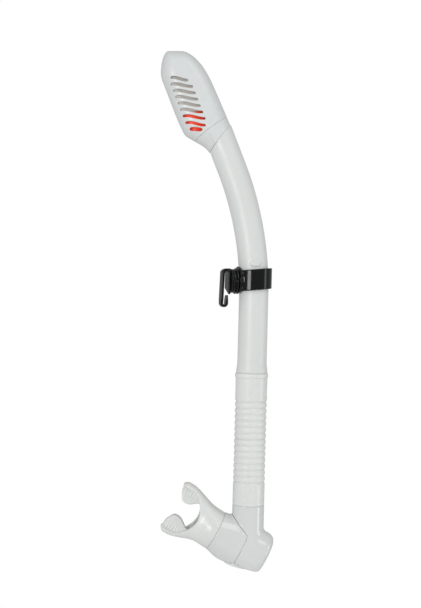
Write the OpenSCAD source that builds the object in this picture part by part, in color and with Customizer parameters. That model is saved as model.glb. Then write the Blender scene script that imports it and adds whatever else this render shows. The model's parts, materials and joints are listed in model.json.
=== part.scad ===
// Dry-top snorkel: a louvred dry top with a float and a rocker valve, a bent barrel, a sliding
// keeper with a swivelling strap hook, a corrugated hose, a purge chamber and a swivelling mouthpiece.
// Millimetres, +Z up. The origin is on the strap seat of the hook, where the mask strap bears.

/* [Barrel] */
// Outside diameter of the barrel
barrel_d = 25.2; // [24.8:0.1:25.6]
// Bore of the barrel, the airway
bore_d = 21; // [20:0.2:21.4]
// Radius of the long bend, to the barrel's axis
bend_r = 285; // [275:5:300]
// Angle of the long bend, which is also the lean of the dry top
bend_angle = 22.5; // [21:0.5:24]
// Distance from the hook's strap seat down to the barrel's lower end
barrel_drop = 78.5; // [76:0.5:84]

/* [Dry top] */
// Wall of the cover
cover_wall = 1.8; // [1.6:0.1:2]
// Height of one louvre slot
slot_h = 1.8; // [1.4:0.1:2.2]
// Distance between two louvre slots
slot_pitch = 5.85; // [5.4:0.05:6]
// Slope of the louvre slots
slot_slope = 27; // [24:1:30]
// Rise of the float before the valve is shut
float_travel = 9; // [8.8:0.1:9]
// Swing of the flap between open and shut
flap_swing = 35; // [34:0.5:35]

/* [Keeper] */
// Distance from the band's axis to the strap seat
keeper_reach = 24; // [23.8:0.1:24.4]
// Turn of the keeper on the barrel, towards the front
keeper_yaw = 15; // [0:1:20]
// Height of the band
band_h = 18; // [16:0.5:19]
// Wall of the band
band_wall = 2.5; // [2.2:0.1:2.8]
// Free width of the strap slot
strap_gap = 2.8; // [2.6:0.1:3.4]
// Width of the hook's arm, along the strap slot
hook_w = 8.4; // [8:0.2:10]
// Width of the seat plate
plate_w = 13; // [12:0.5:14]

/* [Hose] */
// Length of the hose with its two cuffs
hose_len = 112.7; // [112.7:0.1:112.7]
// Outside diameter of the cuffs and ridges
hose_d = 27.2; // [27:0.1:27.4]
// Number of ridges between the cuffs
ridges = 13; // [11:1:14]

/* [Lower body] */
// Slope of the chamber's axis, up towards the mouthpiece
chamber_slope = 28; // [28:1:28]
// Outside diameter of the chamber
chamber_d = 34.4; // [34.2:0.1:34.6]
// Length of the chamber from the mouthpiece joint to its blind end
chamber_len = 51.5; // [51:0.5:52.5]
// Radius of the purge cover
purge_r = 12.5; // [12:0.1:12.6]

/* [Mouthpiece] */
// Reach of the mouthpiece from its joint to the tips of the bite tabs
mouth_reach = 42.5; // [42:0.5:43]
// Height of the lips, across the bite
lip_h = 25; // [22:1:28]
// Thickness of a bite tab
tab_t = 8; // [7:0.5:9]

/* [Hidden] */

$fn = 64;
over = 1;                 // overshoot of a cut
far = 120;                // bigger than any piece
hair = 0.02;
white = [0.86, 0.87, 0.86];
silicone = [0.89, 0.9, 0.89];
black = [0.07, 0.07, 0.07];
red = [0.86, 0.16, 0.1];

barrel_r = barrel_d / 2;
bore_r = bore_d / 2;
bend_z = -12;             // where the bend starts
spigot_r = 11.6;          // plugs that carry the hose's cuffs
spigot_len = 19;
band_r = barrel_r + 0.5;  // the band slides past the start of the bend
band_x = keeper_reach * cos(keeper_yaw);
barrel_x = band_x + 0.45;
barrel_y = keeper_reach * sin(keeper_yaw);

// The dry top is drawn along its own leaning axis: x across, z up the axis.
// Each ball is [x, z, radius], and the head is the skin round them all.
TOP_BALLS = [[-15.6, 98.6, 14], [-8, 96, 13], [-5, 80, 15.2], [-14.2, 52, 15.2],
             [-2.9, 42, 15.2], [0, 12, 12.8]];
SLOT_HALF = [6.9, 9, 9.2, 9.2, 9.2, 9.2, 9.2, 8.1, 5];
slot_x = -14.4;
slot_z = 88.2;
duct_x = -4.2;            // centre of the round side of the air duct
duct_r = 12;
duct_wall = 1.4;
duct_left = -5.4;         // outer face of the wall between duct and float
duct_z = 35.5;
seat_z = 70.6;
mouth_x = 1.2;            // centre of the valve's mouth
mouth_r = 4.2;
mouth_half = 4.3;         // from the middle to the centre of each round end
pin_x = -7.6;
pin_z = 74;
pin_r = 0.9;
ear_z = 67.8;             // foot of the two hinge ears, above the risen float
float_x = -16.4;
float_r = 9.8;
float_foot = 38.5;
float_body = 48.5;
float_top = 58;
post_x = pin_x - 12.5;
post_top = 63.9;

hose_top = -barrel_drop;
hose_bottom = hose_top - hose_len;
cuff_top_len = 24.6;
cuff_low_len = 19.8;
hose_r = hose_d / 2;
ridge_pitch = (hose_len - cuff_top_len - cuff_low_len) / ridges;

// The chamber's own axis starts at the mouthpiece joint, runs down its slope as +z,
// and has the purge side on +x.
joint_x = -27.5;
joint_z = -214.6;
chamber_r = chamber_d / 2;
liner_r = 15.1;
liner_bore = 13.2;
sleeve_bore = 15.3;
spout_r = 14.6;
seam_gap = 0.15;
purge_x = -8.7;
purge_z = -242.6;
purge_lean = 13.6;

module on_barrel() translate([barrel_x, barrel_y, 0]) children();
module on_head() on_barrel()
    translate([-bend_r * (1 - cos(bend_angle)), 0, bend_z + bend_r * sin(bend_angle)])
    rotate([0, -bend_angle, 0]) children();
module on_keeper() translate([band_x, barrel_y, 0]) rotate([0, 0, keeper_yaw]) children();
module on_chamber() on_barrel() translate([joint_x, 0, joint_z])
    rotate([0, 90 + chamber_slope, 0]) children();
module on_purge() on_barrel() translate([purge_x, 0, purge_z])
    rotate([0, 180 + purge_lean, 0]) children();
module through_y(h) rotate([90, 0, 0]) linear_extrude(height = h, center = true) children();
module disc_x(r, x0, x1) translate([x0, 0, 0]) rotate([0, 90, 0]) cylinder(r = r, h = x1 - x0);
module ring(major, minor) rotate_extrude() translate([major, 0]) circle(r = minor, $fn = 32);

// ---- dry top ----

module top_skin(inset) hull() for (b = TOP_BALLS)
    translate([b[0], 0, b[1]]) sphere(r = b[2] - inset, $fn = 32);
// Everything above the seam between cover and base, and above the seam at the barrel's top
module above_cover_seam(lift = 0) translate([0, 0, 41 + lift]) rotate([0, -16, 0])
    translate([-far / 2, -far / 2, 0]) cube(far);
module above_barrel_seam(lift = 0) translate([0, 0, 27 + lift]) rotate([0, -30.9, 0])
    translate([-far / 2, -far / 2, 0]) cube(far);
module slot(half) {
    square([2 * half, slot_h], center = true);
    for (side = [-1, 1]) translate([side * half, 0]) circle(d = slot_h, $fn = 24);
}
module duct_shape(inset) intersection() {
    translate([duct_x, 0]) circle(r = duct_r - inset);
    translate([duct_left + inset, -far / 2]) square(far);
}
module mouth_shape(r) {
    for (side = [-1, 1]) translate([mouth_x, side * mouth_half]) circle(r = r, $fn = 48);
    translate([mouth_x, 0]) square([2 * r, 2 * mouth_half], center = true);
}
// Turns the rocker from its shut place to its open place at rest
module at_rest() translate([pin_x, 0, pin_z]) rotate([0, -flap_swing, 0])
    translate([-pin_x, 0, -pin_z]) children();

module dry_top_cover() color(white) on_head() difference() {
    intersection() { top_skin(0); above_cover_seam(0.05); }
    top_skin(cover_wall);
    for (i = [0 : len(SLOT_HALF) - 1])
        translate([i == len(SLOT_HALF) - 1 ? slot_x - 2 : slot_x, 0, slot_z - i * slot_pitch])
            rotate([0, slot_slope, 0]) through_y(far) slot(SLOT_HALF[i] - slot_h / 2);
}

module dry_top_base() color(white) on_head() {
    difference() {
        intersection() { top_skin(0); above_barrel_seam(0.05); }
        above_cover_seam();
        translate([0, 0, duct_z - 0.1]) linear_extrude(height = 20) duct_shape(-0.1);
        cylinder(r = 8.8, h = duct_z + over);
        // well under the float, and its drain
        translate([float_x, 0, 36]) cylinder(r1 = 6, r2 = float_r, h = 12);
        translate([float_x + 2, 0, 33]) rotate([90, 0, 0]) cylinder(r = 1.6, h = far, center = true);
    }
    // plug that seals in the barrel's mouth
    difference() {
        translate([0, 0, 7]) cylinder(r = bore_r - 0.3, h = 26);
        cylinder(r = 8.8, h = 40);
        translate([0, 0, 11]) ring(bore_r - 0.75, 0.72);
    }
}

module valve_frame() color(white) on_head() {
    difference() {
        translate([0, 0, duct_z]) linear_extrude(height = seat_z - duct_z) duct_shape(0);
        translate([0, 0, duct_z - over]) linear_extrude(height = far) duct_shape(duct_wall);
    }
    for (side = [-1, 1]) translate([0, side * 5.7, 0]) difference() {
        union() {
            translate([duct_left - 4.2, -0.8, ear_z]) cube([4.2, 1.6, pin_z - ear_z]);
            translate([duct_left - 4.2, -0.8, ear_z]) cube([4.4, 1.6, seat_z - ear_z]);
            translate([pin_x, 0, pin_z]) rotate([90, 0, 0]) cylinder(r = 2, h = 1.6, center = true);
        }
        translate([pin_x, 0, pin_z]) rotate([90, 0, 0]) cylinder(r = pin_r, h = 9, center = true);
    }
}

module valve_seat() color(white) on_head() difference() {
    union() {
        translate([0, 0, seat_z]) linear_extrude(height = 1.4) duct_shape(0);
        translate([0, 0, seat_z]) linear_extrude(height = 2.2) mouth_shape(mouth_r + 0.7);
    }
    translate([0, 0, seat_z - over]) linear_extrude(height = far) mouth_shape(mouth_r);
}

module flap_plate() color(white) on_head() at_rest() difference() {
    union() {
        translate([0, 0, 73.5]) linear_extrude(height = 1) {
            mouth_shape(mouth_r + 1.1);
            translate([pin_x, -4.5]) square([mouth_x - pin_x, 9]);
        }
        translate([post_x - 3, -3, 73.5]) cube([pin_x - post_x + 3, 6, 1]);
        translate([pin_x, 0, pin_z]) rotate([90, 0, 0]) cylinder(r = 1.8, h = 9, center = true);
    }
    translate([pin_x, 0, pin_z]) rotate([90, 0, 0]) cylinder(r = pin_r + 0.05, h = 20, center = true);
}

module flap_seal() color(silicone) on_head() at_rest()
    translate([0, 0, seat_z + 2.25]) linear_extrude(height = 73.5 - seat_z - 2.25)
    mouth_shape(mouth_r + 1);

module flap_pin() color("silver") on_head() translate([pin_x, 0, pin_z]) rotate([90, 0, 0])
    cylinder(r = pin_r, h = 13, center = true);

module float() color(red) on_head() union() {
    translate([float_x, 0, float_foot]) cylinder(r1 = 5, r2 = float_r, h = float_body - float_foot);
    translate([float_x, 0, float_body]) cylinder(r = float_r, h = float_top - float_body);
    translate([post_x, 0, float_top - 1]) cylinder(r = 1.5, h = post_top - 1.5 - float_top + 1);
    translate([post_x, 0, post_top - 1.5]) sphere(r = 1.5, $fn = 32);
}

module dry_top_o_ring() color(black) on_head() translate([0, 0, 11]) ring(bore_r - 0.75, 0.68);

// ---- barrel ----

// The two straight stretches lap over the ends of the bend, which is a hair slimmer
module barrel_path(r, extra) {
    translate([0, 0, hose_top - extra]) cylinder(r = r, h = bend_z - hose_top + extra + over);
    translate([-bend_r, 0, bend_z]) rotate([90, 0, 0])
        rotate_extrude(angle = bend_angle, $fn = 360) translate([bend_r, 0]) circle(r = r - hair);
    translate([-bend_r * (1 - cos(bend_angle)), 0, bend_z + bend_r * sin(bend_angle)])
        rotate([0, -bend_angle, 0]) translate([0, 0, -over]) cylinder(r = r, h = 40 + extra);
}
module barrel() color(white) on_barrel() difference() {
    union() {
        difference() {
            barrel_path(barrel_r, 0);
            translate([-barrel_x, -barrel_y, 0]) on_head() above_barrel_seam();
        }
        translate([0, 0, hose_top]) cylinder(r1 = 13.1, r2 = barrel_r, h = 20);
        translate([0, 0, hose_top - spigot_len]) cylinder(r = spigot_r, h = spigot_len + over);
        // oval stop above the keeper
        translate([-1.2, 0, 15.1]) rotate([0, 0, 8.6]) intersection() {
            rotate([0, -5.5, 0]) cylinder(r = barrel_r + 0.8, h = 16, center = true);
            rotate([90, 0, 0]) linear_extrude(height = 20) scale([2, 1]) circle(r = 2.5, $fn = 48);
        }
    }
    barrel_path(bore_r, spigot_len + over);
}

// ---- keeper ----

module keeper_band() color(black) on_keeper() difference() {
    union() {
        translate([0, 0, -7.5]) cylinder(r = band_r + band_wall, h = band_h);
        translate([0, 0, 0.8]) disc_x(10, -15.7, -8);
        translate([0, 0, 0.8]) disc_x(11.8, -15, -13.7);
    }
    translate([0, 0, -20]) cylinder(r = band_r, h = 40);
}
module keeper_hub() color(black) on_keeper() difference() {
    union() {
        disc_x(9.4, -20.1, -15.9);
        disc_x(10.4, -20.1, -18.7);
        disc_x(11.2, -17.3, -15.9);
    }
    disc_x(4.05, -21, -15);
    disc_x(6, -18.5, -15);
    translate([0, 0, -20]) cylinder(r = band_r + band_wall + 0.02, h = 40);
}
module ratchet_disc() color(black) on_keeper() difference() {
    union() { disc_x(10.6, -21.8, -20.4); disc_x(9.6, -22.1, -21.8); }
    disc_x(4, -23, -19);
}
module strap_hook() color(black) on_keeper() {
    arm_x = -keeper_reach - strap_gap;       // inner face of the outer arm
    arm_t = 2.3;
    curl_r = 3.5;
    curl_x = arm_x - arm_t + curl_r;
    curl_z = -18.5;
    half = plate_w / 2;
    rotate([90, 0, 90]) translate([0, 0, -keeper_reach]) linear_extrude(height = keeper_reach - 22.2)
        polygon([[-half, 10.4], [-half, -10.5], [1.5 - half, -12], [3.5 - half, -12], [half, -7],
                 [half, 10.4]]);
    through_y(hook_w) {
        translate([arm_x - arm_t, 7.6]) square([strap_gap + arm_t + over, 2.8]);
        translate([arm_x - arm_t, curl_z]) square([arm_t, 28.9]);
        difference() {
            translate([curl_x, curl_z]) circle(r = curl_r);
            translate([curl_x, curl_z]) circle(r = curl_r - arm_t);
            translate([curl_x - 10, curl_z]) square(20);
        }
        translate([curl_x + curl_r - arm_t, curl_z]) square([1.9, 5.4]);
    }
    difference() {
        disc_x(4, -22.3, -17.2);
        rotate([0, 90, 0]) translate([0, 0, -18.35]) difference() {
            cylinder(r = 6, h = 0.8);
            cylinder(r = 3.2, h = 0.8);
        }
    }
}
module swivel_clip() color("silver") on_keeper() difference() {
    disc_x(5.4, -18.3, -17.6);
    disc_x(3.25, -19, -17);
}

// ---- hose ----

module flex_hose() color(silicone) on_barrel() difference() {
    union() {
        translate([0, 0, hose_top - 3.4]) cylinder(r = hose_r + 0.6, h = 3.35);
        translate([0, 0, hose_top - cuff_top_len]) cylinder(r = hose_r, h = cuff_top_len - 1);
        translate([0, 0, hose_bottom + 1]) cylinder(r = hose_r - 1, h = hose_len - 2);
        for (i = [0 : ridges - 1]) translate([0, 0, hose_top - cuff_top_len - (i + 1) * ridge_pitch + 0.65])
            cylinder(r = hose_r, h = ridge_pitch - 1.3);
        translate([0, 0, hose_bottom + 0.05]) cylinder(r = hose_r, h = cuff_low_len);
    }
    translate([0, 0, hose_bottom - over]) cylinder(r = bore_r, h = far);
    translate([0, 0, hose_top - spigot_len - 0.4]) cylinder(r = spigot_r + 0.3, h = 40);
    translate([0, 0, hose_bottom - 20]) cylinder(r = spigot_r + 0.3, h = 20 + spigot_len + 0.4);
}

// ---- lower body ----

// The outside of the lower body and of the sleeve, before the seam parts them
module lower_skin() {
    translate([0, 0, -232]) cylinder(r = hose_r + 0.1, h = hose_bottom + 232);
    translate([joint_x, 0, joint_z]) rotate([0, 90 + chamber_slope, 0]) {
        cylinder(r = chamber_r, h = chamber_len - 7);
        translate([0, 0, chamber_len - 7]) rotate_extrude() {
            square([chamber_r - 7, 7]);
            intersection() {
                translate([chamber_r - 7, 0]) circle(r = 7);
                square([chamber_r, 7]);
            }
        }
    }
    translate([purge_x, 0, purge_z]) rotate([0, 180 + purge_lean, 0])
        translate([0, 0, -14]) cylinder(r = purge_r + 0.9, h = 15);
}
// The region on the mouthpiece side of the V-shaped seam
module sleeve_side(gap) through_y(far) polygon([[-60, -150], [-33, -171.7], [-14.1 - gap, -199],
    [0.5 - gap, -220.1], [-10.1 - gap, -239.2], [-16, -250], [-60, -250]]);
module air_ways() {
    translate([0, 0, -216]) cylinder(r = 10.2, h = 60);
    translate([joint_x, 0, joint_z]) rotate([0, 90 + chamber_slope, 0])
        translate([0, 0, -30]) cylinder(r = liner_bore, h = 30 + chamber_len - 3);
}
module purge_hole() translate([purge_x, 0, purge_z]) rotate([0, 180 + purge_lean, 0]) {
    translate([0, 0, -12]) cylinder(r = 8.4, h = 20);
    translate([0, 0, -3.2]) cylinder(r = purge_r + 0.05, h = 10);
}

module lower_body() color(white) on_barrel() difference() {
    union() {
        difference() { lower_skin(); sleeve_side(0); }
        translate([0, 0, hose_bottom - over]) cylinder(r = spigot_r, h = spigot_len + over);
        translate([joint_x, 0, joint_z]) rotate([0, 90 + chamber_slope, 0])
            translate([0, 0, 3.2]) cylinder(r = liner_r, h = 30);
    }
    air_ways();
    purge_hole();
    translate([joint_x, 0, joint_z]) rotate([0, 90 + chamber_slope, 0])
        translate([0, 0, 7]) ring(liner_r - 0.4, 0.55);
}

module mouthpiece_connector() color(white) on_barrel() difference() {
    union() {
        intersection() { lower_skin(); sleeve_side(seam_gap); }
        translate([joint_x, 0, joint_z]) rotate([0, 90 + chamber_slope, 0])
            translate([0, 0, -9.5]) cylinder(r = spout_r, h = 10);
    }
    translate([joint_x, 0, joint_z]) rotate([0, 90 + chamber_slope, 0]) {
        translate([0, 0, 3]) cylinder(r = sleeve_bore, h = 40);
        translate([0, 0, -6]) difference() {
            cylinder(r = spout_r + over, h = 2);
            cylinder(r = spout_r - 0.7, h = 2);
        }
    }
    air_ways();
    purge_hole();
}

module connector_o_ring() color(black) on_chamber() translate([0, 0, 7]) ring(liner_r - 0.4, 0.5);

module purge_seat() color(white) on_purge() difference() {
    translate([0, 0, -3.1]) cylinder(r = purge_r, h = 1.3);
    for (a = [30 : 60 : 330]) rotate([0, 0, a]) translate([5.4, 0, -4]) cylinder(r = 1.9, h = 4);
    translate([0, 0, -4]) cylinder(r = 1.25, h = 4);
}
module purge_valve() color(silicone) on_purge() {
    translate([0, 0, -1.7]) cylinder(r = 8.8, h = 0.7);
    translate([0, 0, -5]) cylinder(r = 1.2, h = 3.5);
    translate([0, 0, -5.8]) cylinder(r = 1.8, h = 1.4);
}
module purge_cover() color(white) on_purge() difference() {
    union() {
        translate([0, 0, -1.7]) cylinder(r = purge_r, h = 2.6);
        translate([0, 0, 0.9]) cylinder(r1 = purge_r, r2 = purge_r - 1.5, h = 0.7);
    }
    translate([0, 0, -2]) cylinder(r = purge_r - 2.2, h = 2.4);
    for (x = [-7.5 : 3 : 7.5]) translate([x, 0, 0]) cube([1.4, 15, 8], center = true);
}

// ---- mouthpiece ----

module oval(rx, ry) scale([rx, ry]) circle(r = 1, $fn = 48);
module slab(z, t, rx, ry) translate([0, 0, z]) linear_extrude(height = t) oval(rx, ry);
// Half outline of lip and bite tab on one side, in the plane of the bite: [across, along the axis]
WING = [[12, -19], [19, -17.5], [21, -25], [23.4, -33], [24.2, -39], [23.4, -42.2],
        [20.6, -42.2], [20.4, -38], [18.6, -31], [15.5, -24.5]];
TAB = [[14.2, -24.5], [20.2, -30], [22.5, -41], [17, -42.4], [12.6, -42], [9, -38.5],
       [7.6, -33], [8.6, -29.4]];
module mouthpiece() color(silicone) on_chamber() {
    difference() {
        translate([0, 0, -10.2]) cylinder(r = chamber_r, h = 10.1);
        translate([0, 0, -11]) cylinder(r = spout_r + 0.06, h = 12);
        translate([0, 0, -6.3]) cylinder(r = 15.5, h = 2.6);
    }
    difference() {
        hull() { slab(-10.3, 0.1, chamber_r, chamber_r); slab(-19.8, 0.1, 19.5, 10.5); }
        hull() { slab(-10.2, 0.1, spout_r - 1, spout_r - 1); slab(-20, 0.1, 14.5, 6.5); }
        translate([0, 0, -10.25]) cylinder(r = spout_r - 1, h = 2);
        translate([0, 0, -20.5]) linear_extrude(height = 2) oval(14.5, 6.5);
    }
    for (side = [0, 1]) mirror([side, 0, 0]) {
        intersection() {
            through_y(lip_h) polygon(WING);
            translate([0, 0, -30]) rotate([0, 90, 0]) scale([1, 0.82, 1]) cylinder(r = 16, h = 40);
        }
        through_y(tab_t) polygon(TAB);
    }
}
module mouthpiece_ring() color("silver") on_chamber() translate([0, 0, -5.9]) difference() {
    cylinder(r = 15.35, h = 1.8);
    translate([0, 0, -over]) cylinder(r = spout_r - 0.68, h = 4);
}

dry_top_cover();
dry_top_base();
valve_frame();
valve_seat();
flap_plate();
flap_seal();
flap_pin();
float();
dry_top_o_ring();
barrel();
keeper_band();
keeper_hub();
ratchet_disc();
strap_hook();
swivel_clip();
flex_hose();
lower_body();
mouthpiece_connector();
connector_o_ring();
purge_seat();
purge_valve();
purge_cover();
mouthpiece();
mouthpiece_ring();
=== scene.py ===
"""Dry-top snorkel: the finished shapes, materials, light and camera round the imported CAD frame."""

import json
import math

import bpy
import numpy as np
from mathutils import Matrix, Vector


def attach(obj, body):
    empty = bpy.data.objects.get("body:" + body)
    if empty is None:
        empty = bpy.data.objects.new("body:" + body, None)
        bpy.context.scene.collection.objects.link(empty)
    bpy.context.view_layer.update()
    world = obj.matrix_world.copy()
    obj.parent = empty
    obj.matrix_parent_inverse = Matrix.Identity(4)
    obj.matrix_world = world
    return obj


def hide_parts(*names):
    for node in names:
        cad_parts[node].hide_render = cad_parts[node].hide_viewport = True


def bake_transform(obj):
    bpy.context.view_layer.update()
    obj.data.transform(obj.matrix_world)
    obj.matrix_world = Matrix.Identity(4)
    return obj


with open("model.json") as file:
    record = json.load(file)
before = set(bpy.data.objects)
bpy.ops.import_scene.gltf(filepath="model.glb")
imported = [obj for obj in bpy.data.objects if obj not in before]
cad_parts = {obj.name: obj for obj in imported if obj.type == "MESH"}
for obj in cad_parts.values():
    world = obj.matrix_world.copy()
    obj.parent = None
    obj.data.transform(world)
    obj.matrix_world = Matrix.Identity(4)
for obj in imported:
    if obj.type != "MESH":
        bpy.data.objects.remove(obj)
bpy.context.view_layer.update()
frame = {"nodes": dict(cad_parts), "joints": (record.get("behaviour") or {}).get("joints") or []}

MM = 0.001

# ---------------------------------------------------------------- places, from the frame's joints

joints = {joint["name"]: joint for joint in frame["joints"]}
AXIS = Vector(joints["hose_bend"]["pos_m"]) / MM  # a point on the lower barrel's axis
BARREL = Matrix.Translation((AXIS.x, AXIS.y, 0))
LEAN = math.atan2(-joints["float_rise"]["axis"][0], joints["float_rise"]["axis"][2])
SLOPE = math.atan2(joints["mouthpiece_swivel"]["axis"][2], -joints["mouthpiece_swivel"]["axis"][0])
YAW = math.atan2(joints["hook_swivel"]["axis"][1], joints["hook_swivel"]["axis"][0])
BEND_R = 285.0
BEND_Z = -12.0
REACH = 24.0
BAND_X = REACH * math.cos(YAW)
HEAD_X = -BEND_R * (1 - math.cos(LEAN))
HEAD_Z = BEND_Z + BEND_R * math.sin(LEAN)
HEAD = BARREL @ Matrix.Translation((HEAD_X, 0, HEAD_Z)) @ Matrix.Rotation(-LEAN, 4, "Y")
KEEPER = Matrix.Translation((BAND_X, AXIS.y, 0)) @ Matrix.Rotation(YAW, 4, "Z")
JOINT = Vector(joints["mouthpiece_swivel"]["pos_m"]) / MM
CHAMBER = Matrix.Translation(JOINT) @ Matrix.Rotation(math.pi / 2 + SLOPE, 4, "Y")
PURGE_LEAN = math.radians(13.6)
PURGE_X, PURGE_Z = -8.7, -242.6
PURGE = (BARREL @ Matrix.Translation((PURGE_X, 0, PURGE_Z))
         @ Matrix.Rotation(math.pi + PURGE_LEAN, 4, "Y"))

HOSE_TOP, HOSE_BOTTOM = -78.5, -191.2
HOSE_R = 13.6
BARREL_R, BORE_R = 12.6, 10.5
CHAMBER_R = 17.2

# ---------------------------------------------------------------- fields: negative inside, in mm


def smooth_max(a, b, k):
    """The larger of two fields, with a round edge about k wide where they meet."""
    h = np.clip(0.5 + 0.5 * (a - b) / k, 0, 1)
    return b * (1 - h) + a * h + k * h * (1 - h)


def smooth_min(a, b, k):
    """The smaller of two fields, with a fillet about k wide where they meet."""
    return -smooth_max(-a, -b, k)


def smooth_step(t):
    """0 to 1 with level ends."""
    t = np.clip(t, 0, 1)
    return t * t * (3 - 2 * t)


def rounded_box_2d(x, y, half_x, half_y, radius):
    dx, dy = np.abs(x) - half_x + radius, np.abs(y) - half_y + radius
    outside = np.hypot(np.maximum(dx, 0), np.maximum(dy, 0))
    return outside + np.minimum(np.maximum(dx, dy), 0) - radius


def half_plane(x, y, px, py, angle):
    """Distance past the line through (px, py) whose outward normal is at this angle."""
    return (x - px) * math.cos(math.radians(angle)) + (y - py) * math.sin(math.radians(angle))


def segment_2d(x, y, ax, ay, bx, by):
    """Distance to the segment from a to b."""
    dx, dy = bx - ax, by - ay
    t = np.clip(((x - ax) * dx + (y - ay) * dy) / (dx * dx + dy * dy), 0, 1)
    return np.hypot(x - ax - t * dx, y - ay - t * dy)


# ---------------------------------------------------------------- meshes


def new_object(name, points, faces, place, normals=None):
    """A smooth mesh object from points in mm in their own place."""
    mesh = bpy.data.meshes.new(name)
    world = Matrix.Scale(MM, 4) @ place
    turned = np.array(world.to_3x3()) @ points.T + np.array(world.translation)[:, None]
    mesh.from_pydata(turned.T.tolist(), [], faces)
    mesh.update()
    mesh.polygons.foreach_set("use_smooth", [True] * len(mesh.polygons))
    if normals is not None:
        rotation = np.array(place.to_3x3())
        mesh.normals_split_custom_set_from_vertices((normals @ rotation.T).tolist())
    obj = bpy.data.objects.new(name, mesh)
    bpy.context.scene.collection.objects.link(obj)
    return obj


def gradient(field, points, step=0.03):
    """Slope of the field at each point."""
    slopes = []
    for axis in range(3):
        shift = np.zeros(3)
        shift[axis] = step
        ahead, behind = (points + shift).T, (points - shift).T
        slopes.append((field(*ahead) - field(*behind)) / (2 * step))
    return np.stack(slopes, axis=1)


def field_mesh(name, field, low, high, cell, place):
    """The surface where the field is 0: one point in each grid cell that the surface crosses."""
    low = np.array(low, float)
    counts = np.ceil((np.array(high) - low) / cell).astype(int) + 1
    grid = np.meshgrid(*[low[i] + cell * np.arange(counts[i]) for i in range(3)], indexing="ij")
    value = field(*grid)
    for axis in range(3):  # nothing may cross the grid's own faces
        side = np.moveaxis(value, axis, 0)
        side[0], side[-1] = np.maximum(side[0], 0.01), np.maximum(side[-1], 0.01)
    inside = value < 0
    cells = counts - 1
    total = np.zeros(int(cells.prod()))
    sums = np.zeros((3, int(cells.prod())))
    quads = []
    for axis in range(3):
        u, w = (axis + 1) % 3, (axis + 2) % 3
        step = np.eye(3, dtype=int)[axis]
        first = [slice(0, counts[i] - step[i]) for i in range(3)]
        second = [slice(step[i], counts[i]) for i in range(3)]
        edges = np.argwhere(inside[tuple(first)] != inside[tuple(second)])
        a, b = value[tuple(edges.T)], value[tuple((edges + step).T)]
        points = low + cell * (edges + (a / (a - b))[:, None] * step)
        ring = []
        for du, dw in ((0, 0), (-1, 0), (-1, -1), (0, -1)):
            shift = np.zeros(3, int)
            shift[u], shift[w] = du, dw
            index = np.ravel_multi_index(tuple((edges + shift).T), tuple(cells), mode="clip")
            ring.append(index)
            total += np.bincount(index, minlength=len(total))
            for i in range(3):
                sums[i] += np.bincount(index, weights=points[:, i], minlength=len(total))
        ring = np.stack(ring, axis=1)
        ring[a >= 0] = ring[a >= 0][:, ::-1]
        quads.append(ring)
    quads = np.concatenate(quads)
    used, faces = np.unique(quads, return_inverse=True)
    faces = faces.reshape(quads.shape)
    points = (sums[:, used] / total[used]).T
    for _ in range(4):
        slope = gradient(field, points)
        size = np.maximum((slope ** 2).sum(1), 0.05)
        move = -(field(*points.T) / size)[:, None] * slope
        points = points + np.clip(move, -0.3 * cell, 0.3 * cell)
    slope = gradient(field, points)
    normals = slope / np.maximum(np.linalg.norm(slope, axis=1), 1e-6)[:, None]
    return new_object(name, points, faces.tolist(), place, normals)


def rings_mesh(name, rings, place, closed=True):
    """A skin through rings of points that all have the same count; closed joins the last to the first."""
    rings = np.array(rings)
    count, around = rings.shape[:2]
    faces = []
    for i in range(count if closed else count - 1):
        j = (i + 1) % count
        for k in range(around):
            m = (k + 1) % around
            faces.append((i * around + k, i * around + m, j * around + m, j * around + k))
    return new_object(name, rings.reshape(-1, 3), faces, place)


def turned_mesh(name, outline, place, around=128, wobble=None):
    """A closed outline of [radius, height] turned round the place's z; wobble(angle) adds to the radius."""
    angles = np.arange(around) * 2 * math.pi / around
    extra = wobble(angles) if wobble else 0 * angles
    rings = []
    for radius, height, *share in outline:
        r = radius + (share[0] if share else 0) * extra
        rings.append(np.stack([r * np.cos(angles), r * np.sin(angles), height + 0 * angles], axis=1))
    return rings_mesh(name, rings, place)


def rounded_outline(corners, radius, steps=6):
    """The closed polygon with each corner turned into an arc, listed so that the skin faces out."""
    points = []
    for i, corner in enumerate(corners):
        before, after = np.array(corners[i - 1]), np.array(corners[(i + 1) % len(corners)])
        corner = np.array(corner, float)
        into, out = before - corner, after - corner
        reach = min(radius, 0.45 * np.linalg.norm(into), 0.45 * np.linalg.norm(out))
        start = corner + into / np.linalg.norm(into) * reach
        end = corner + out / np.linalg.norm(out) * reach
        for t in np.linspace(0, 1, steps):
            points.append((1 - t) ** 2 * start + 2 * t * (1 - t) * corner + t * t * end)
    return points


# ---------------------------------------------------------------- dry top

# Sides of the head's outline: a point on each, and the angle of its outward normal
HEAD_SIDES = [(12.5, 30, 0.6), (10.3, 76, 2.7), (8.7, 88.1, 11.5), (6.7, 95.3, 18.5),
              (3.2, 101.8, 30.5), (0.3, 105.9, 45.5), (-9, 110.8, 69), (-20, 110.9, 126.5),
              (-25, 104.7, 146.5), (-27.9, 99.4, 152.5), (-29.3, 94.5, 161), (-28.9, 70, 180),
              (-28.4, 46, 188), (-21, 32.3, 219)]
HEAD_DEPTH = 15.0
EDGE = 12.5  # width of the rounded border of the pillow shape
WALL = 1.8
MOUTH_W = 27.0  # height of the barrel's slanted mouth on the head's axis, and how steeply it rises
MOUTH_RISE = 0.598


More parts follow.
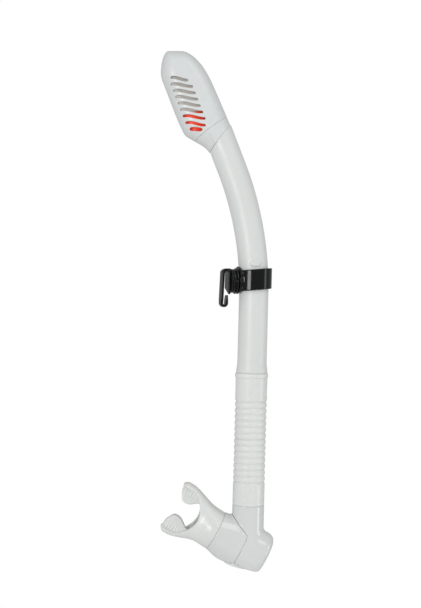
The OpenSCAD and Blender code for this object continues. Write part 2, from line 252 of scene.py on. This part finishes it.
def head_skin(x, y, z):
    """The outside of cover, base and the barrel's mouth."""
    outline = half_plane(x, z, *HEAD_SIDES[0])
    for side in HEAD_SIDES[1:]:
        outline = smooth_max(outline, half_plane(x, z, *side), 1.6)
    depth = BARREL_R + 0.1 + (HEAD_DEPTH - BARREL_R - 0.1) * smooth_step(over_barrel_seam(x, z) / 26)
    reach = np.maximum(outline + EDGE, 0) * depth / EDGE
    pillow = np.hypot(reach, y) - depth
    neck = smooth_max(np.hypot(x, y) - BARREL_R - 0.05, z - 36, 6)
    fillet = 0.6 + 4.4 * smooth_step((2 - x) / 10)
    return smooth_min(pillow, neck, fillet)


def over_cover_seam(x, z):
    """Distance above the slanted line where cover and base meet."""
    return (z - 38.6 - 0.287 * x) * 0.961


def over_barrel_seam(x, z):
    """Distance above the steeper line where the base meets the barrel's mouth."""
    return (z - MOUTH_W - MOUTH_RISE * x) * 0.858


# Half lengths of the slots from the top down, their slant, the depth of their S and half their width
SLOT_HALVES = [7.4, 9.5, 9.7, 9.7, 9.7, 9.7, 9.7, 8.6, 5.4]
SLOT_TURN = math.radians(-21)
SLOT_FALL = 1.25
SLOT_THICK = 1.2
SLOT_PITCH = 5.76


def slots(x, z):
    """The nine louvre slots, each a bar with round ends that falls in a soft S."""
    nearest = np.full(x.shape, 1e3)
    for i, half in enumerate(SLOT_HALVES):
        cx, cz = -15.2, 84.9 - SLOT_PITCH * i
        if i >= 7:
            cx, cz = (-16.0, cz) if i == 7 else (-17.3, cz + 1.4)
        along = (x - cx) * math.cos(SLOT_TURN) + (z - cz) * math.sin(SLOT_TURN)
        across = -(x - cx) * math.sin(SLOT_TURN) + (z - cz) * math.cos(SLOT_TURN)
        fall = SLOT_FALL if i < 8 else 0.3
        sweep = np.clip(along / half, -1, 1)
        across = across + fall * np.sin(sweep * 1.8) + 0.15 * fall * sweep ** 2
        thick = (SLOT_THICK if i < 8 else 1.5) * (1.08 - 0.3 * sweep ** 2)
        reach = np.maximum(np.abs(along) - half + thick, 0)
        nearest = np.minimum(nearest, np.hypot(reach, across) - thick)
    return nearest


def cover_field(x, y, z):
    skin = head_skin(x, y, z)
    shell = smooth_max(skin, 0.03 - over_cover_seam(x, z), 0.2)
    shell = smooth_max(shell, -(skin + WALL), 0.5)
    shell = smooth_max(shell, -slots(x, z), 0.6)
    guard_depth = 11.3 - 0.06 * np.maximum(-19 - x, 0) ** 2
    guard = smooth_max(np.abs(np.abs(y) - guard_depth) - 0.5, skin + 0.9, 0.3)
    guard = smooth_max(guard, np.maximum(55.2 - 0.25 * (x + 15) - z, x + 2), 0.5)
    return smooth_min(shell, guard, 0.5)


# The moulded crease on the base, in the head's x and z
CREASE = [(-10, 35.8), (-8.4, 34.3), (-7.3, 32.2), (-6.8, 30), (-6.7, 27.7), (-6.6, 25.4), (-5.6, 24.7)]
CREASE_HEIGHT, CREASE_WIDTH = 0.45, 0.75


def base_field(x, y, z):
    crease = np.full(x.shape, 9.0)
    for a, b in zip(CREASE, CREASE[1:]):
        crease = np.minimum(crease, segment_2d(x, z, *a, *b))
    skin = head_skin(x, y, z) - CREASE_HEIGHT * np.exp(-(crease / CREASE_WIDTH) ** 2)
    solid = smooth_max(skin, over_cover_seam(x, z) + 0.03, 0.2)
    solid = smooth_max(solid, 0.03 - over_barrel_seam(x, z), 0.3)
    airway = np.hypot(x, y) - 8.8
    return smooth_max(solid, -airway, 0.8)


def shade_inside(obj, place, field, depth, material):
    """Gives the faces deeper than this under the field's surface a second material, a darker colour that
    paints the shade inside.
    """
    obj.data.materials.append(material)
    back = (Matrix.Scale(MM, 4) @ place).inverted()
    centres = np.array([tuple(face.center) for face in obj.data.polygons])
    local = np.array(back.to_3x3()) @ centres.T + np.array(back.translation)[:, None]
    for face, deep in zip(obj.data.polygons, (field(*local) < -depth).tolist()):
        face.material_index = int(deep)


def make_cover():
    return field_mesh("cover_shell", cover_field, (-31, -16, 28), (14, 16, 115), 0.5, HEAD)


def make_base():
    return field_mesh("base_collar", base_field, (-30, -16, 12), (14, 16, 47), 0.42, HEAD)


def make_float():
    """The red float: a foam drum with soft edges, tapered below, with the post that lifts the rocker."""
    def field(x, y, z):
        radius = np.hypot(x + 16.4, y)
        taper = (radius - 9.8) * 0.9 + (48.5 - z) * 0.12
        drum = smooth_max(smooth_max(radius - 9.75, z - 57.9, 2), taper, 1.5)
        drum = smooth_max(drum, 38.6 - z, 1.2)
        groove = np.hypot(radius - 9.9, z - 53.5) - 0.45
        drum = smooth_max(drum, -groove, 0.3)
        post = np.hypot(x + 20.1, y)
        post = np.hypot(post, np.maximum(z - 62.35, 0)) - 1.45
        post = np.maximum(post, 54 - z)
        return smooth_min(drum, post, 1)
    return field_mesh("float_drum", field, (-28, -11.5, 37), (-5, 11.5, 65), 0.4, HEAD)


# ---------------------------------------------------------------- barrel

STOP_Z = 15.1
STOP_ANGLE = math.radians(-90 + 8.6)  # the stop sits 8.6 degrees to the right of the front
STOP_HALF_WIDTH, STOP_HALF_HEIGHT = 5.0, 2.6


def barrel_place(s):
    """Centre and the two cross directions at distance s along the axis from the bend's start."""
    arc = BEND_R * LEAN
    if s <= 0:
        return np.array([0, 0, BEND_Z + s]), 0.0
    if s < arc:
        angle = s / BEND_R
        return np.array([-BEND_R * (1 - math.cos(angle)), 0,
                         BEND_Z + BEND_R * math.sin(angle)]), angle
    run = s - arc
    return np.array([HEAD_X - run * math.sin(LEAN), 0, HEAD_Z + run * math.cos(LEAN)]), LEAN


def barrel_ring(s, radius, angles, lift=None):
    centre, lean = barrel_place(s)
    r = radius + (lift if lift is not None else 0)
    across, depth = r * np.cos(angles), r * np.sin(angles)
    return np.stack([centre[0] + across * math.cos(lean), centre[1] + depth,
                     centre[2] + across * math.sin(lean)], axis=1)


def mouth_ring(radius, back, angles):
    """A ring on the barrel's oblique end, or back from it along the axis."""
    across, depth = radius * np.cos(angles), radius * np.sin(angles)
    up = MOUTH_W + MOUTH_RISE * across - back
    return np.stack([HEAD_X + across * math.cos(LEAN) - up * math.sin(LEAN), depth,
                     HEAD_Z + across * math.sin(LEAN) + up * math.cos(LEAN)], axis=1)


def make_barrel():
    """The bent tube with its oval stop, the plug for the hose and the slanted mouth."""
    angles = np.arange(160) * 2 * math.pi / 160
    bottom = HOSE_TOP - BEND_Z
    arc = BEND_R * LEAN
    stop_s = BEND_R * math.asin((STOP_Z - BEND_Z) / BEND_R)
    outer = [(bottom - 19, 11.1), (bottom - 18.4, 11.6), (bottom - 0.6, 11.6), (bottom - 0.1, 11.9),
             (bottom, 12.7), (bottom + 0.15, 13.2), (bottom + 0.6, 13.42)]
    for s in np.concatenate([np.arange(bottom + 1.5, 18, 1.5), np.arange(18, 37, 0.35),
                             np.arange(38, arc + 8, 2.5)]):
        flare = 0.85 * float(smooth_step((bottom + 9 - s) / 8))
        outer.append((s, BARREL_R + flare))
    rings = []
    for s, radius in outer:
        side = BARREL_R * (angles - 2 * math.pi - STOP_ANGLE)
        side = (side + math.pi * BARREL_R) % (2 * math.pi * BARREL_R) - math.pi * BARREL_R
        far = np.hypot(side / STOP_HALF_WIDTH, (s - stop_s) / STOP_HALF_HEIGHT)
        lift = 0.85 * smooth_step((1.12 - far) / 0.3) * (1 - 0.12 * far ** 2)
        rings.append(barrel_ring(s, radius, angles, lift))
    for back, radius in ((6, BARREL_R), (2, BARREL_R), (0.5, BARREL_R), (0.12, BARREL_R - 0.05),
                         (0.04, BARREL_R - 0.2), (0.04, BORE_R + 0.4), (0.4, BORE_R), (6, BORE_R)):
        rings.append(mouth_ring(radius, back, angles))
    for s in np.arange(arc + 8, bottom - 18, -6.0):
        rings.append(barrel_ring(s, BORE_R, angles))
    rings.append(barrel_ring(bottom - 19, BORE_R, angles))
    return rings_mesh("barrel_tube", [ring[::-1] for ring in rings], BARREL)


# ---------------------------------------------------------------- keeper


def make_band():
    """The polished band and the pad that carries the hub."""
    def field(x, y, z):
        height = z - 1.7 - 0.1 * x
        radius = np.hypot(x, y)
        band = rounded_box_2d(radius - 14.35, height, 1.25, 8.9, 0.75)
        out = np.hypot(y, z - 0.8)
        face = 9.9 - 0.35 * np.clip(x + 13, 0, 9)
        pad = smooth_max(out - face, np.maximum(-15.7 - x, x + 7), 0.9)
        wave = 0.1 * np.cos(14 * np.arctan2(y, z - 0.8))
        rim = rounded_box_2d(x + 14.35, np.maximum(out - 9, 0), 0.65, 2.75 + wave, 0.45)
        pad = smooth_max(smooth_min(pad, rim, 0.4), 13.15 - radius, 0.5)
        return smooth_min(band, pad, 2.0)
    return field_mesh("band_ring", field, (-17, -17, -12.6), (17, 17, 14.2), 0.4, KEEPER)


AROUND_X = Matrix.Rotation(math.pi / 2, 4, "Y")  # turns a piece made round z so that x is its axis


def make_hub():
    """Two scalloped flanges on the pad."""
    outline = rounded_outline([(4.1, -20.05), (10.1, -20.05), (10.1, -18.75), (9.3, -18.4),
                               (9.3, -17.6), (10.95, -17.3), (10.95, -15.95), (6.1, -15.95),
                               (6.1, -18.4), (4.1, -18.4)], 0.35)
    outline = [(r, z, 1.0 if r > 8 else 0.0) for r, z in outline]
    return turned_mesh("hub_flanges", outline[::-1], KEEPER @ AROUND_X, 192,
                       lambda a: 0.1 * np.cos(14 * a))


def make_ratchet():
    """The thin toothed disc between hub and hook."""
    outline = rounded_outline([(4.05, -22.05), (9.3, -22.05), (9.9, -21.75), (10.35, -21.6),
                               (10.35, -20.5), (9.9, -20.4), (4.05, -20.4)], 0.25)
    outline = [(r, z, 1.0 if r > 8 else 0.0) for r, z in outline]
    return turned_mesh("ratchet_plate", outline[::-1], KEEPER @ AROUND_X, 216,
                       lambda a: 0.12 * np.cos(24 * a))


SEAT_X = -REACH
PLATE_X = -22.2
ARM_T = 2.3
ARM_TOP_X, ARM_LOW_X = SEAT_X - 2.75 - ARM_T / 2, SEAT_X - 3.5 - ARM_T / 2
CURL_R = 2.25
CURL_X = ARM_LOW_X + CURL_R
CURL_Z = -19.2


def make_hook():
    """The J-shaped strap hook: seat plate, bridge, outer arm and the curl with its pointed tip."""
    def field(x, y, z):
        top = 9.0
        bend_x, bend_z = ARM_TOP_X + 2.2, top - 2.1
        arm = segment_2d(x, z, ARM_TOP_X, bend_z, ARM_LOW_X, CURL_Z) - ARM_T / 2
        bend = np.abs(np.hypot(x - bend_x, z - bend_z) - 2.2) - ARM_T / 2
        bend = np.maximum(bend, np.maximum(x - bend_x, bend_z - z))
        bridge = segment_2d(x, z, bend_x, top + 0.1, PLATE_X - 1.3, top + 0.1) - 1.3
        curl = np.abs(np.hypot(x - CURL_X, z - CURL_Z) - CURL_R) - 1.08
        curl = np.maximum(curl, z - CURL_Z)
        tip = segment_2d(x, z, CURL_X + CURL_R, CURL_Z, CURL_X + CURL_R + 0.2, CURL_Z + 6.7)
        tip = tip - 1.08 + 0.1 * np.clip(z - CURL_Z, 0, 9)
        rail = smooth_min(smooth_min(arm, bend, 0.4), bridge, 0.5)
        rail = smooth_min(rail, np.minimum(curl, tip), 0.3)
        rail = smooth_max(rail, np.abs(y) - 4.2 + 0.9 * smooth_step((-15 - z) / 7), 0.8)
        corner = half_plane(y, z, 0, -9.2, -66)
        plate = smooth_max(rounded_box_2d(y, z + 0.8, 6.5, 11.2, 1.6), corner, 1.0)
        plate = smooth_max(plate, np.maximum(SEAT_X + 0.02 - x, x - PLATE_X), 0.5)
        shaft = smooth_max(np.hypot(y, z) - 3.95, np.maximum(-23 - x, x + 17.3), 0.4)
        return smooth_min(smooth_min(rail, plate, 0.8), shaft, 0.3)
    return field_mesh("hook_j", field, (-31.5, -7.5, -24), (-16.5, 7.5, 11.5), 0.25, KEEPER)


# ---------------------------------------------------------------- hose

RIDGES = 13
GROOVE_TOP, GROOVE_BOTTOM = -103.1, -171.4
PITCH = (GROOVE_TOP - GROOVE_BOTTOM) / RIDGES
SPLIT = GROOVE_TOP - 6 * PITCH  # the groove where the two halves of the hose meet
HOSE_BORE, CUFF_BORE = 11.0, 11.9
CUFF_LENGTH = 19.5


def hose_radius(z):
    """The outside of the hose: cuffs, a lip at the top, and ridges with narrow grooves between."""
    phase = (GROOVE_TOP - z) / PITCH
    off = (phase - np.round(phase)) * PITCH
    groove = np.exp(-(off / 0.85) ** 2)
    ridged = (z < GROOVE_TOP + 1.2) & (z > GROOVE_BOTTOM - 1.2)
    bulge = 0.12 * np.cos(math.pi * off / PITCH) ** 2
    radius = HOSE_R - ridged * (0.8 * groove + bulge)
    lip = 0.55 * smooth_step((z - HOSE_TOP + 4.1) / 0.6)
    end = 0.35 * smooth_step((HOSE_BOTTOM + 0.7 - z) / 0.6)
    top = 0.7 * smooth_step((z - HOSE_TOP + 0.6) / 0.5) ** 2
    return radius + lip - end - top


def make_hose_part(name, top, bottom, cuff_top):
    """Half of the hose; its cuff has a wider bore for the plug inside."""
    outer = [(float(hose_radius(z)), z) for z in np.arange(top, bottom, -0.33)]
    outer.append((float(hose_radius(bottom)), bottom))
    cuff_low, cuff_high = (top - CUFF_LENGTH, top) if cuff_top else (bottom, bottom + CUFF_LENGTH)
    inner = []
    for z in np.arange(bottom, top, 1.5):
        inner.append((CUFF_BORE if cuff_low <= z <= cuff_high else HOSE_BORE, z))
    inner.append((CUFF_BORE if cuff_top else HOSE_BORE, top))
    return turned_mesh(name, (outer + inner)[::-1], BARREL, 128)


# ---------------------------------------------------------------- lower body

COS_S, SIN_S = math.cos(SLOPE), math.sin(SLOPE)
JOINT_X, JOINT_Z = JOINT.x - AXIS.x, JOINT.z
V_TIP = (-0.25, -216.1)  # where the two legs of the V-shaped seam meet


def chamber_axes(x, z):
    """Distance along the chamber from the mouthpiece joint, and across it, up being positive."""
    dx, dz = x - JOINT_X, z - JOINT_Z
    return dx * COS_S - dz * SIN_S, dx * SIN_S + dz * COS_S


def purge_axes(x, z):
    """Distance across the purge valve's axis, and out along it."""
    dx, dz = x - PURGE_X, z - PURGE_Z
    cos, sin = math.cos(PURGE_LEAN), math.sin(PURGE_LEAN)
    return dx * cos - dz * sin, -dx * sin - dz * cos


def lower_skin(x, y, z):
    """The outside of the lower body and the sleeve before the seam parts them."""
    along, across = chamber_axes(x, z)
    tube = smooth_max(np.hypot(x, y) - HOSE_R - 0.05, z - HOSE_BOTTOM + 0.1, 0.5)
    tube = smooth_max(tube, -232 - z, 3)
    height = CHAMBER_R + 3.3 * smooth_step((along + 3) / 18)
    radius = np.hypot(across * CHAMBER_R / height, y)
    chamber = smooth_max(radius - CHAMBER_R + 0.05, along - 48.6, 8)
    chamber = smooth_max(chamber, -along + 0.04, 0.35)
    _, pz = purge_axes(x, z)
    chamber = smooth_max(chamber, pz - 0.4, 2.5)
    return smooth_min(tube, chamber, 2.6)


def sleeve_side(x, z):
    """Negative on the mouthpiece side of the V-shaped seam."""
    upper = half_plane(x, z, *V_TIP, 39.5)
    lower = half_plane(x, z, *V_TIP, -25.7)
    return np.maximum(upper, lower)


def hollow(x, y, z):
    """The airway: down the tube, along the chamber, and out through the purge seat."""
    along, across = chamber_axes(x, z)
    tube = np.maximum(np.hypot(x, y) - 10.2, np.maximum(-216 - z, z + 160))
    chamber = smooth_max(np.hypot(across, y) - 13.2, along - 44, 5)
    px, pz = purge_axes(x, z)
    hole = np.maximum(np.hypot(px, y) - 8.4, -12 - pz)
    seat = np.maximum(np.hypot(px, y) - 12.55, -3.2 - pz)
    return np.minimum(np.minimum(tube, chamber), np.minimum(hole, seat))


def lower_field(x, y, z):
    gap = 0.05 + 0.16 * smooth_step((z + 216) / 4)
    shell = smooth_max(lower_skin(x, y, z), gap - sleeve_side(x, z), 0.4)
    along, across = chamber_axes(x, z)
    liner = np.maximum(np.hypot(across, y) - 15.05, np.maximum(3.3 - along, along - 34))
    spigot = np.maximum(np.hypot(x, y) - 11.6, np.maximum(z + 172.4, -205 - z))
    return smooth_max(np.minimum(np.minimum(shell, liner), spigot), -hollow(x, y, z), 0.3)


def sleeve_field(x, y, z):
    shell = smooth_max(lower_skin(x, y, z), sleeve_side(x, z) + 0.05, 0.4)
    along, across = chamber_axes(x, z)
    radius = np.hypot(across, y)
    bore = np.maximum(radius - 15.3, 3 - along)
    shell = np.maximum(shell, -bore)
    spout = np.maximum(radius - 14.55, np.maximum(-6.2 - along, along - 1))
    return smooth_max(np.minimum(shell, spout), -hollow(x, y, z), 0.3)


def make_lower():
    return field_mesh("lower_shell", lower_field, (-32, -18, -250), (24, 18, -171), 0.5, BARREL)


def make_sleeve():
    return field_mesh("sleeve_v", sleeve_field, (-43, -18, -248), (4, 18, -194), 0.5, BARREL)


def make_purge_cover():
    """The domed vented cover of the purge valve."""
    def field(x, y, z):
        radius = np.hypot(x, y)
        dome = z - 1.45 + 0.006 * radius ** 2
        disc = smooth_max(smooth_max(radius - 12.35, dome, 0.8), -1.65 - z, 0.4)
        inside = smooth_max(radius - 10.2, z - 0.3, 0.5)
        disc = smooth_max(disc, -inside, 0.4)
        for k in range(-2, 4):
            slit = rounded_box_2d(x - (k - 0.5) * 3, y, 0.7, 7.4 - 0.35 * abs(k - 0.5) ** 1.5, 0.65)
            disc = smooth_max(disc, -slit, 0.3)
        return disc
    return field_mesh("purge_grille", field, (-13, -13, -2.2), (13, 13, 2), 0.3, PURGE)


# ---------------------------------------------------------------- mouthpiece


def mouth_field(x, y, z):
    """Collar, flattening neck, curved lips and the two bite tabs. z runs back along the chamber's axis."""
    across = -x - 1.0 * smooth_step(-z / 18)
    side = np.abs(across)
    half = CHAMBER_R + 6.7 * smooth_step((-z - 9) / 28)
    deep = CHAMBER_R - 5.6 * smooth_step((-z - 3) / 17) - 2.4 * smooth_step((-z - 28) / 16)
    power = 2 + 0.9 * smooth_step((-z - 5) / 20)  # the section goes from round to a flat oval
    section = ((side / half) ** power + (np.abs(y) / deep) ** power) ** (1 / power)
    skin = (section - 1) * np.minimum(half, deep) * 0.95
    skin = smooth_max(skin, z + 0.04, 0.35)
    tip = -43.0 + 0.011 * y ** 2 + 0.05 * np.maximum(side - 18.5, 0) ** 2
    skin = smooth_max(skin, tip - z, 2.0)
    # the open front, with the lips standing up round it
    front = z - (-18.6 - across ** 2 / 34)
    wall = 2.8 + 1.4 * smooth_step((-z - 24) / 12)
    lips = smooth_max(skin, -smooth_max(front, side - half + wall, 3.0), 1.2)
    # the airway, and the seat of the collar
    bore_half = 13.6 + 0.9 * smooth_step(-z / 19)
    bore_deep = 13.6 - 6.6 * smooth_step((-z - 5) / 15)
    bore = (np.hypot(side / bore_half, y / bore_deep) - 1) * np.minimum(bore_half, bore_deep)
    lips = smooth_max(lips, -bore, 0.8)
    collar = np.maximum(np.hypot(x, y) - 14.65, -6.6 - z)
    lips = smooth_max(lips, -collar, 0.3)
    # bite tabs, thicker along the inner edge, with fine tooth ridges next to the lips
    out = np.abs(across - 0.6)
    tab = smooth_max(half_plane(z, out, -31.5, 6.6, -54.8), half_plane(z, out, -38.2, 7.2, -149.3), 2.5)
    tab = smooth_max(tab, 6.5 - out, 2.0)
    tab = smooth_max(tab, np.maximum(-42.4 - z, out - half + 3.3), 1.5)
    thick = 3.5 + 1.1 * smooth_step((11 - out) / 4)
    thick = thick + 0.16 * np.cos(z * 2 * math.pi / 2.6) * smooth_step((out - 12) / 3)
    tab = smooth_max(tab, np.abs(y) - thick, 1.3)
    return smooth_min(lips, tab, 2.4)


def make_mouthpiece():
    return field_mesh("mouth_lips", mouth_field, (-27, -18.5, -44), (27, 18.5, 1), 0.45, CHAMBER)


# ---------------------------------------------------------------- materials


def node_material(name):
    material = bpy.data.materials.new(name)
    material.use_nodes = True
    tree = material.node_tree
    return material, tree, tree.nodes["Principled BSDF"]


def noise(tree, scale, detail=3.0):
    """Noise over the object's own coordinates."""
    place = tree.nodes.new("ShaderNodeTexCoord")
    texture = tree.nodes.new("ShaderNodeTexNoise")
    texture.inputs["Scale"].default_value = scale
    texture.inputs["Detail"].default_value = detail
    tree.links.new(place.outputs["Object"], texture.inputs["Vector"])
    return texture.outputs["Fac"]


def spread(tree, value, low, high):
    """The noise value stretched to a range."""
    node = tree.nodes.new("ShaderNodeMapRange")
    node.inputs["From Min"].default_value = 0.3
    node.inputs["From Max"].default_value = 0.7
    node.inputs["To Min"].default_value = low
    node.inputs["To Max"].default_value = high
    tree.links.new(value, node.inputs["Value"])
    return node.outputs["Result"]


def tint(tree, value, dark, light):
    """A colour between two, by the noise value."""
    ramp = tree.nodes.new("ShaderNodeValToRGB")
    ramp.color_ramp.elements[0].position = 0.3
    ramp.color_ramp.elements[1].position = 0.7
    ramp.color_ramp.elements[0].color = (*dark, 1)
    ramp.color_ramp.elements[1].color = (*light, 1)
    tree.links.new(value, ramp.inputs["Fac"])
    return ramp.outputs["Color"]


def bump(tree, shader, height, strength, distance):
    node = tree.nodes.new("ShaderNodeBump")
    node.inputs["Strength"].default_value = strength
    node.inputs["Distance"].default_value = distance
    tree.links.new(height, node.inputs["Height"])
    tree.links.new(node.outputs["Normal"], shader.inputs["Normal"])


def moulded(name, dark, light, rough, grain, depth, coat=0.0, soft=0.0, ior=1.5, painted_glow=0.0):
    """Moulded plastic or silicone: faint colour drift, uneven gloss and a fine mould texture; painted_glow
    adds a painted glow in the light colour.
    """
    material, tree, shader = node_material(name)
    tree.links.new(tint(tree, noise(tree, 22), dark, light), shader.inputs["Base Color"])
    tree.links.new(spread(tree, noise(tree, 160), *rough), shader.inputs["Roughness"])
    bump(tree, shader, noise(tree, grain, 2.0), 0.35, depth)
    shader.inputs["IOR"].default_value = ior
    shader.inputs["Coat Weight"].default_value = coat
    shader.inputs["Coat Roughness"].default_value = 0.06
    shader.inputs["Subsurface Weight"].default_value = soft
    shader.inputs["Subsurface Radius"].default_value = (1.0, 0.95, 0.9)
    shader.inputs["Subsurface Scale"].default_value = 0.002
    # Painted glow: emission in the light colour, set above zero only for the red float, which is no lamp.
    shader.inputs["Emission Color"].default_value = (*light, 1)
    shader.inputs["Emission Strength"].default_value = painted_glow
    return material


WHITE = moulded("white_gloss", (0.745, 0.765, 0.76), (0.775, 0.795, 0.79), (0.10, 0.17),
                2600, 0.000012, coat=0.35, soft=0.05)
HEAD_WHITE = moulded("white_head", (0.745, 0.775, 0.77), (0.775, 0.80, 0.80), (0.30, 0.40),
                     2600, 0.000015, soft=0.05)
SATIN = moulded("white_satin", (0.76, 0.79, 0.77), (0.79, 0.815, 0.795), (0.34, 0.46),
                3200, 0.00002, soft=0.05)
SILICONE = moulded("white_silicone", (0.81, 0.83, 0.81), (0.84, 0.86, 0.84), (0.20, 0.32),
                   420, 0.00010, coat=0.1, soft=0.25, ior=1.42)
LIP_SILICONE = moulded("lip_silicone", (0.785, 0.805, 0.785), (0.815, 0.835, 0.815), (0.24, 0.36),
                       420, 0.00004, coat=0.1, soft=0.3, ior=1.42)
BLACK = moulded("black_gloss", (0.003, 0.0035, 0.0035), (0.006, 0.0065, 0.0065), (0.09, 0.18),
                1800, 0.00001, ior=1.33)
# The red float has a painted glow, so the red behind the slots is brighter than the light reaching it would
# make it.
RED = moulded("red_float", (0.80, 0.045, 0.016), (0.90, 0.075, 0.03), (0.34, 0.5),
              1100, 0.00006, coat=0.1, painted_glow=0.3)
RUBBER = moulded("seal_rubber", (0.012, 0.012, 0.012), (0.025, 0.025, 0.025), (0.5, 0.65),
                 1500, 0.00003)
# Painted shade: a darker tan for the cover's inside faces and slot guards, where the white plastic lies in
# shadow.
PAINTED_INSIDE_SHADE = moulded("painted_inside_shade", (0.58, 0.55, 0.51), (0.66, 0.62, 0.58), (0.45, 0.6),
                 2200, 0.00002)
INNER = moulded("white_inner", (0.66, 0.67, 0.66), (0.72, 0.73, 0.72), (0.3, 0.42),
                2200, 0.00002)


def make_steel():
    """Plain stainless with fine turning marks."""
    material, tree, shader = node_material("steel")
    tree.links.new(tint(tree, noise(tree, 900), (0.5, 0.5, 0.5), (0.66, 0.66, 0.66)),
                   shader.inputs["Base Color"])
    tree.links.new(spread(tree, noise(tree, 1200), 0.2, 0.36), shader.inputs["Roughness"])
    bump(tree, shader, noise(tree, 2400), 0.3, 0.00001)
    shader.inputs["Metallic"].default_value = 1.0
    return material


STEEL = make_steel()


def finish_piece(obj, material, body, slot, *nodes):
    """Gives a piece its material, its body and the CAD nodes that it stands for; slot is not used."""
    obj.data.materials.append(material)
    if body:
        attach(obj, body)
    if nodes:
        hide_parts(*nodes)
    return obj


cover = finish_piece(make_cover(), HEAD_WHITE, "barrel", "white_gloss", "dry_top_cover")
# The cover's inside faces get the painted shade colour.
shade_inside(cover, HEAD, head_skin, 1.0, PAINTED_INSIDE_SHADE)
finish_piece(make_base(), HEAD_WHITE, "barrel", "white_gloss", "dry_top_base")
finish_piece(make_float(), RED, "float", "red_gloss", "float")
finish_piece(make_barrel(), SATIN, "barrel", "white_gloss", "barrel")
finish_piece(make_band(), BLACK, "keeper", "black_gloss", "keeper_band")
finish_piece(make_hub(), BLACK, "keeper", "black_gloss", "keeper_hub")
finish_piece(make_ratchet(), BLACK, "hook", "black_gloss", "ratchet_disc")
finish_piece(make_hook(), BLACK, "hook", "black_gloss", "strap_hook")
finish_piece(make_lower(), WHITE, "lower_unit", "white_gloss", "lower_body")
finish_piece(make_sleeve(), WHITE, "lower_unit", "white_gloss", "mouthpiece_connector")
finish_piece(make_purge_cover(), WHITE, "lower_unit", "white_gloss", "purge_cover")
finish_piece(make_mouthpiece(), LIP_SILICONE, "mouthpiece", "white_silicone", "mouthpiece")

hose_upper = make_hose_part("hose_upper", HOSE_TOP, SPLIT, True)
finish_piece(hose_upper, SILICONE, None, "white_silicone", "flex_hose")
hose_lower = make_hose_part("hose_lower", SPLIT, HOSE_BOTTOM, False)
finish_piece(hose_lower, SILICONE, None, "white_silicone", "flex_hose")


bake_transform(hose_upper)
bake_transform(hose_lower)

NODE_MATERIALS = {
    "valve_frame": INNER, "valve_seat": INNER, "flap_plate": INNER, "flap_seal": SILICONE,
    "flap_pin": STEEL, "dry_top_o_ring": RUBBER, "swivel_clip": STEEL, "connector_o_ring": RUBBER,
    "purge_seat": INNER, "purge_valve": SILICONE, "mouthpiece_ring": STEEL,
}
for node_name, material in NODE_MATERIALS.items():
    node = frame["nodes"][node_name]
    node.data.materials.clear()
    node.data.materials.append(material)

# ---------------------------------------------------------------- floor, light and camera


ROOM_LIGHT = 0.43
LIT_POINT = Vector((0, 0, -0.05))


def make_floor():
    """A wide pale floor well below the snorkel."""
    bpy.ops.mesh.primitive_plane_add(size=2, location=(0, 0, -0.62))
    floor = bpy.context.object
    floor.name = "floor"
    material, _, shader = node_material("floor_pale")
    shader.inputs["Base Color"].default_value = (0.93, 0.93, 0.93, 1)
    shader.inputs["Roughness"].default_value = 0.9
    floor.data.materials.append(material)


def soft_light(name, turn, rise, distance, width, height, radiance):
    """A soft box round the snorkel: turn and rise from the camera's side in degrees, sizes in metres."""
    light = bpy.data.lights.new(name, "AREA")
    light.shape = "RECTANGLE"
    light.size, light.size_y = width, height
    light.energy = radiance * math.pi * width * height
    turn, rise = math.radians(turn), math.radians(rise)
    away = Vector((math.sin(turn) * math.cos(rise), -math.cos(turn) * math.cos(rise), math.sin(rise)))
    obj = bpy.data.objects.new(name, light)
    obj.location = LIT_POINT + away * distance
    obj.rotation_euler = away.to_track_quat("Z", "Y").to_euler()
    bpy.context.scene.collection.objects.link(obj)


def make_world():
    """A white backdrop that lights the snorkel less than it shows, as a flagged-off studio wall does."""
    world = bpy.data.worlds.new("studio")
    world.use_nodes = True
    tree = world.node_tree
    shade = tree.nodes["Background"]
    shade.inputs["Color"].default_value = (1, 1, 1, 1)
    path = tree.nodes.new("ShaderNodeLightPath")
    level = tree.nodes.new("ShaderNodeMapRange")
    level.inputs["To Min"].default_value = ROOM_LIGHT
    level.inputs["To Max"].default_value = 1.0
    tree.links.new(path.outputs["Is Camera Ray"], level.inputs["Value"])
    tree.links.new(level.outputs["Result"], shade.inputs["Strength"])
    bpy.context.scene.world = world


TILT = math.radians(1.5)
VIEW_DISTANCE = 0.85
VIEW_X, VIEW_Z = (AXIS.x - 37.5) * MM, -19.8 * MM
PICTURE_HEIGHT = 608 * 0.86 * MM


def make_camera():
    """Level and square on, as far off as the picture's perspective says; the snorkel leans by TILT."""
    camera = bpy.data.cameras.new("camera")
    camera.sensor_fit = "VERTICAL"
    camera.sensor_height = 24
    camera.lens = 24 * VIEW_DISTANCE / PICTURE_HEIGHT
    obj = bpy.data.objects.new("camera", camera)
    x = VIEW_X * math.cos(TILT) - VIEW_Z * math.sin(TILT)
    z = VIEW_X * math.sin(TILT) + VIEW_Z * math.cos(TILT)
    obj.location = (x, AXIS.y * MM - VIEW_DISTANCE, z)
    obj.rotation_euler = (math.pi / 2, -TILT, 0)
    bpy.context.scene.collection.objects.link(obj)
    bpy.context.scene.camera = obj


bpy.context.scene.view_settings.view_transform = "Standard"
make_floor()
make_world()
soft_light("left_box", -30, 6, 1.4, 0.50, 0.32, 13.0)
soft_light("right_top", 38, 46, 1.8, 0.9, 0.9, 1.9)
soft_light("right_strip", 78, -6, 1.3, 0.30, 0.9, 3.2)
soft_light("front_strip", 11, 18, 1.5, 0.05, 0.22, 9.0)
make_camera()
